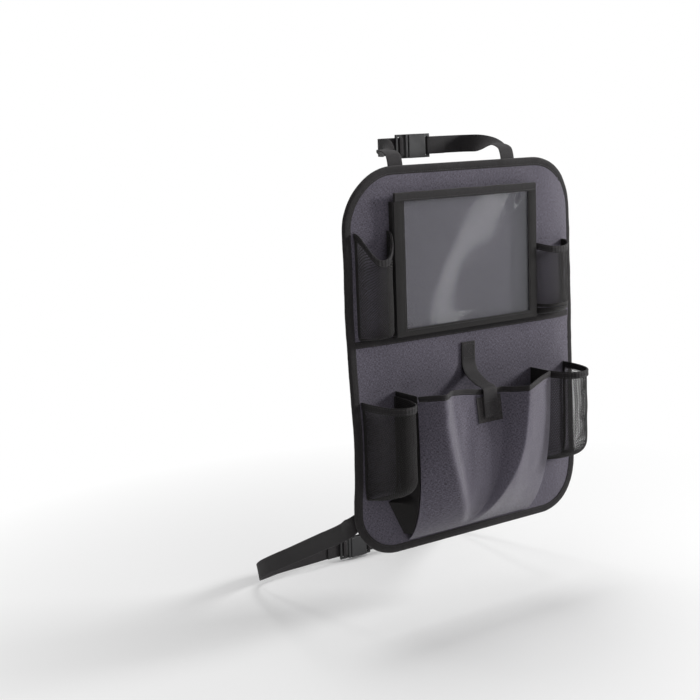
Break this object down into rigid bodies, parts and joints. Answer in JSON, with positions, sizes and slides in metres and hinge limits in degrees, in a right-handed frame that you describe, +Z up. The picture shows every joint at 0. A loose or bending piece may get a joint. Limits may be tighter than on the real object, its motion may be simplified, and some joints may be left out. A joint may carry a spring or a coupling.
{
  "type": "car organizer",
  "caption": "Fabric seat-back organizer with a clear tablet pocket, mesh bottle pockets and a large front pocket, hung by webbing straps on a car seat.",
  "frame": {"origin": "centre of the flat rear face of the panel, which lies against the seat's back", "axes": "+Y towards the seat, +Z up as it hangs, +X to the right for a passenger who looks at the pockets"},
  "size_m": [0.4269, 0.3867, 0.6965],
  "materials": {
    "heather_fabric": "matt two-tone woven polyester",
    "black_fabric": "matt woven binding and lining",
    "black_mesh": "open knitted net",
    "black_webbing": "ribbed woven webbing and elastic",
    "clear_film": "clear glossy vinyl film",
    "black_plastic": "moulded, fine satin"
  },
  "bodies": {
    "root": {"back_panel": "heather_fabric", "edge_binding": "black_fabric", "cross_seam_tape": "black_fabric", "tablet_pocket_frame": "black_fabric", "tablet_pocket_wall": "black_fabric", "tablet_pocket_top_band": "black_fabric", "tablet_window": "clear_film", "upper_left_pocket_mesh": "black_mesh", "upper_left_pocket_rim": "black_webbing", "upper_right_pocket_base": "black_fabric", "upper_right_pocket_mesh": "black_mesh", "upper_right_pocket_rim": "black_webbing", "left_bottle_pocket_mesh": "black_mesh", "left_bottle_pocket_rim": "black_webbing", "right_bottle_pocket_mesh": "black_mesh", "right_bottle_pocket_rim": "black_webbing", "centre_pocket_front": "heather_fabric", "centre_pocket_rim": "black_fabric", "centre_pocket_left_wall": "black_fabric", "centre_pocket_right_wall": "black_fabric", "closure_loop_patch": "black_fabric", "closure_hook_patch": "black_fabric", "closure_tab": "black_webbing", "top_buckle_plug": "black_plastic", "top_buckle_socket": "black_plastic", "top_strap_left": "black_webbing", "top_strap_right": "black_webbing", "lower_buckle_plug": "black_plastic", "lower_buckle_socket": "black_plastic", "lower_strap_left": "black_webbing", "lower_strap_right": "black_webbing"}
  },
  "joints": []
}
